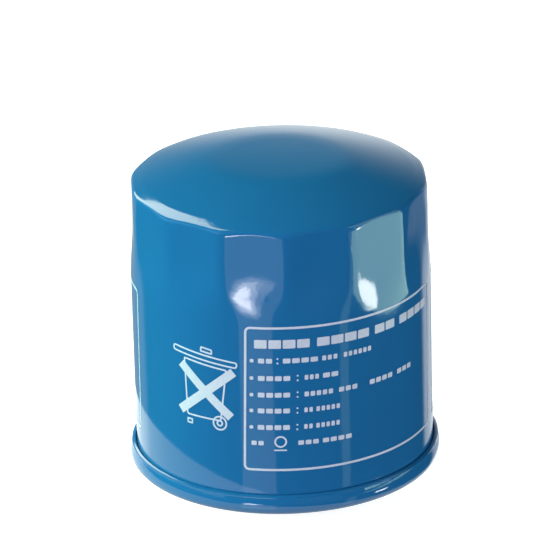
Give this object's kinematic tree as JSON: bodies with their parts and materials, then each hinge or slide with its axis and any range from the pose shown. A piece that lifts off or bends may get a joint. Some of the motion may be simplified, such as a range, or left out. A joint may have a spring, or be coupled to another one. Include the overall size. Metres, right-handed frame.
{
  "type": "spin-on oil filter",
  "caption": "Spin-on engine oil filter: blue painted can with wrench flats, rolled seam, gasket, threaded plate, and a pleated element with valves inside.",
  "frame": {"origin": "on the filter's axis, in the plane of the sealing face of the gasket", "axes": "+Z along the filter's axis from the gasket towards the closed dome; -Y towards the front of the printed label"},
  "size_m": [0.0794, 0.0794, 0.0835],
  "materials": {
    "can_paint": "gloss blue enamel",
    "cover_paint": "gloss blue enamel",
    "seam_compound": "matt sealing compound",
    "plate_steel": "oiled pressed steel",
    "gasket_rubber": "moulded nitrile, satin",
    "valve_rubber": "moulded nitrile, matt",
    "spring_steel": "drawn spring wire",
    "tinplate": "bright tinplate",
    "cap_bond": "cured plastisol",
    "white_print": "screen-printed white ink",
    "filter_paper": "resin-treated filter paper",
    "poppet_nylon": "moulded nylon"
  },
  "bodies": {
    "housing": {"canister": "can_paint", "seam_cover": "cover_paint", "seam_compound": "seam_compound", "tapping_plate": "plate_steel", "sealing_gasket": "gasket_rubber", "element_spring": "spring_steel"},
    "drain_valve": {"anti_drain_valve": "valve_rubber"},
    "element": {"lower_end_cap": "tinplate", "lower_bond": "cap_bond", "filter_paper": "filter_paper", "paper_clip": "tinplate", "centre_tube": "tinplate", "upper_bond": "cap_bond", "upper_end_cap": "tinplate", "bypass_cage": "tinplate", "bypass_spring": "spring_steel"},
    "bypass_valve": {"bypass_poppet": "poppet_nylon", "bypass_seal": "valve_rubber"}
  },
  "joints": [
    {"name": "element_float", "type": "slide", "parent": "housing", "child": "element", "axis": [0, 0, 1], "range_m": [0, 0.0025], "stiffness_N_per_m": 3500, "deforming": ["element_spring"]},
    {"name": "bypass_lift", "type": "slide", "parent": "element", "child": "bypass_valve", "axis": [0, 0, -1], "range_m": [0, 0.0025], "stiffness_N_per_m": 1500, "deforming": ["bypass_spring"]},
    {"name": "drain_lip_lift", "type": "slide", "parent": "housing", "child": "drain_valve", "axis": [0, 0, 1], "range_m": [0, 0.0015], "stiffness_N_per_m": 2000, "deforming": ["anti_drain_valve"]}
  ]
}
